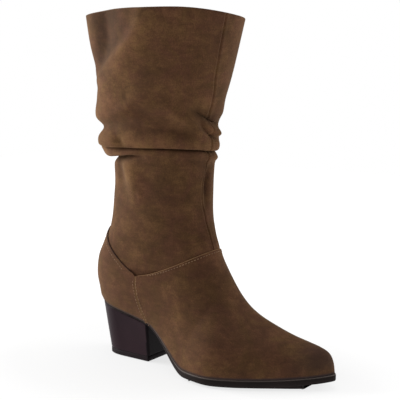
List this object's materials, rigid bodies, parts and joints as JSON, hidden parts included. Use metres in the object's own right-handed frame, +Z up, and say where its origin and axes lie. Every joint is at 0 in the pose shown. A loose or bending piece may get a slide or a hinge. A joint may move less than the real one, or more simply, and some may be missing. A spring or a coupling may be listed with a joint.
{
  "type": "suede boot",
  "caption": "Right suede ankle-to-calf boot with a slouched shaft, almond toe and block heel, standing empty and open at the collar.",
  "frame": {"origin": "centre of the heel's flat ground face, on the floor", "axes": "+X forward to the toe, +Y to the wearer's left (the inner side of this right boot), +Z up"},
  "size_m": [0.2532, 0.122, 0.3267],
  "materials": {
    "suede": "brushed suede nap, matte",
    "insole_sock": "matte",
    "sole_rubber": "satin",
    "heel_cover": "satin, dark brown",
    "top_piece_rubber": "matte"
  },
  "bodies": {
    "root": {"upper": "suede", "insole": "insole_sock", "outsole": "sole_rubber", "heel": "heel_cover", "top_piece": "top_piece_rubber"}
  },
  "joints": []
}
